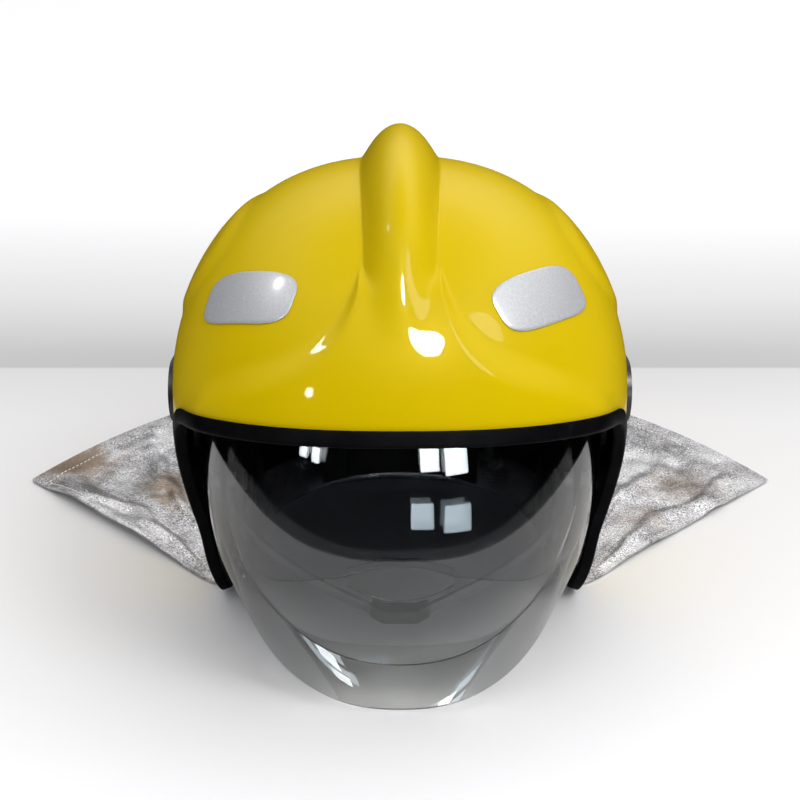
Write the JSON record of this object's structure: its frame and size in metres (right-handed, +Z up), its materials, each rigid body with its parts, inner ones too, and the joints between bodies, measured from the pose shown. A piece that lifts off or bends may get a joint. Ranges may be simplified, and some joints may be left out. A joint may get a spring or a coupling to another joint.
{
  "type": "firefighter helmet",
  "caption": "Glossy fire helmet with a comb, long hinged face shield, inner eye visor, ratchet harness, chin strap and aluminised neck curtain.",
  "frame": {"origin": "on the table, under the middle of the whole part, neck curtain included", "axes": "+Z up, the face looks towards -Y, the wearer's left is +X; the helmet lies tipped back by 8.5 degrees"},
  "size_m": [0.482, 0.416, 0.2619],
  "materials": {
    "yellow_shell": "high gloss",
    "black_rubber": "satin",
    "reflective_film": "retroreflective",
    "black_plastic": "satin",
    "steel": "brushed",
    "foam": "fabric faced foam",
    "webbing": "woven",
    "leather": "perforated",
    "clear_visor": "clear polycarbonate",
    "clear_soft": "clear soft plastic",
    "aluminised_fabric": "aluminised cloth"
  },
  "bodies": {
    "helmet": {"outer_shell": "yellow_shell", "edge_trim": "black_rubber", "left_reflective_patch": "reflective_film", "right_reflective_patch": "reflective_film", "left_plate_gasket": "black_rubber", "right_plate_gasket": "black_rubber", "left_side_plate": "black_plastic", "right_side_plate": "black_plastic", "side_plate_screws": "steel", "impact_liner": "foam", "left_pivot_bracket": "black_plastic", "right_pivot_bracket": "black_plastic", "left_pivot_bolt": "steel", "right_pivot_bolt": "steel", "pivot_washers": "black_plastic", "headband": "black_plastic", "sweatband": "leather", "crown_strap_side": "webbing", "crown_strap_long": "webbing", "crown_pad": "foam", "nape_links": "black_plastic", "nape_cradle": "black_plastic", "ratchet_housing": "black_plastic", "left_ear_pad": "foam", "right_ear_pad": "foam", "strap_anchors": "steel", "curtain_band": "webbing", "neck_curtain": "aluminised_fabric", "curtain_snaps": "steel"},
    "face_shield": {"face_shield": "clear_visor", "left_shield_hub": "black_plastic", "right_shield_hub": "black_plastic"},
    "ocular_visor": {"ocular_visor": "clear_visor", "left_ocular_hub": "black_plastic", "right_ocular_hub": "black_plastic", "nose_piece": "clear_soft"},
    "chin_strap": {"left_strap_hanger": "black_plastic", "right_strap_hanger": "black_plastic", "left_chin_strap": "webbing", "right_chin_strap": "webbing", "chin_cup": "black_plastic"},
    "ratchet_knob": {"ratchet_knob": "black_plastic", "ratchet_pinion": "steel"},
    "left_rack": {"left_rack": "black_plastic"},
    "right_rack": {"right_rack": "black_plastic"}
  },
  "joints": [
    {"name": "shield_hinge", "type": "hinge", "parent": "helmet", "child": "face_shield", "pos_m": [0, -0.067, 0.09795], "axis": [-1, 0, 0], "range_deg": [0, 46]},
    {"name": "eye_visor_hinge", "type": "hinge", "parent": "helmet", "child": "ocular_visor", "pos_m": [0, -0.067, 0.09795], "axis": [-1, 0, 0], "range_deg": [0, 55]},
    {"name": "chin_strap_swing", "type": "hinge", "parent": "helmet", "child": "chin_strap", "pos_m": [0, -0.08301, 0.07203], "axis": [-1, 0, 0], "range_deg": [-45, 30]},
    {"name": "knob_turn", "type": "hinge", "parent": "helmet", "child": "ratchet_knob", "pos_m": [0, 0.02273, 0.03398], "axis": [0, -0.989, 0.1478], "range_deg": [0, 170]},
    {"name": "left_rack_slide", "type": "slide", "parent": "helmet", "child": "left_rack", "axis": [1, 0, 0], "range_m": [0, 0.012]},
    {"name": "right_rack_slide", "type": "slide", "parent": "helmet", "child": "right_rack", "axis": [-1, 0, 0], "range_m": [0, 0.012]}
  ],
  "couplings": [
    {"joint": "left_rack_slide", "follows": "knob_turn", "m_per_rad": 0.004},
    {"joint": "right_rack_slide", "follows": "knob_turn", "m_per_rad": 0.004}
  ]
}
